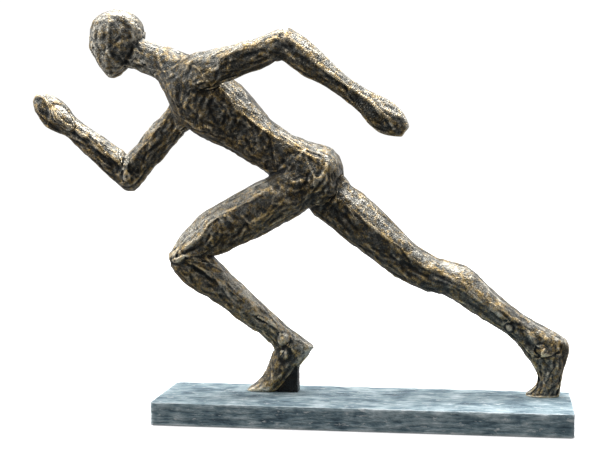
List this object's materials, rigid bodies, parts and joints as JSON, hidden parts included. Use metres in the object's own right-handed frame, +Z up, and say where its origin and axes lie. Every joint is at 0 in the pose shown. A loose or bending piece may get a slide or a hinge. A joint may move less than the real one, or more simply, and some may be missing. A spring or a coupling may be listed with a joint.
{
  "type": "figure trophy",
  "caption": "Stylised running figure with a featureless block head, leaning forward in mid-stride on a flat rectangular base.",
  "frame": {"origin": "centre of the underside of the base, on the face it rests on", "axes": "+Z up, +X along the base from the leading foot to the trailing foot, +Y away from the side the figure shows"},
  "size_m": [0.415, 0.1025, 0.303],
  "materials": {
    "aged_bronze": "bronze powder in resin, dark patina with rubbed gold highlights",
    "slate_stone": "slate blue-grey paint with a pale dry-brushed wash",
    "dark_felt": "black felt",
    "bright_steel": "drawn bar",
    "zinc_steel": "zinc plated"
  },
  "bodies": {
    "root": {"base_block": "slate_stone", "base_felt": "dark_felt", "heel_prop": "aged_bronze", "torso": "aged_bronze", "head": "aged_bronze", "left_arm": "aged_bronze", "right_arm": "aged_bronze", "left_leg": "aged_bronze", "right_leg": "aged_bronze", "neck_dowel": "bright_steel", "left_shoulder_dowel": "bright_steel", "right_shoulder_dowel": "bright_steel", "left_hip_dowel": "bright_steel", "right_hip_dowel": "bright_steel", "front_stud": "bright_steel", "rear_stud": "bright_steel", "front_washer": "zinc_steel", "rear_washer": "zinc_steel", "front_nut": "zinc_steel", "rear_nut": "zinc_steel"}
  },
  "joints": []
}
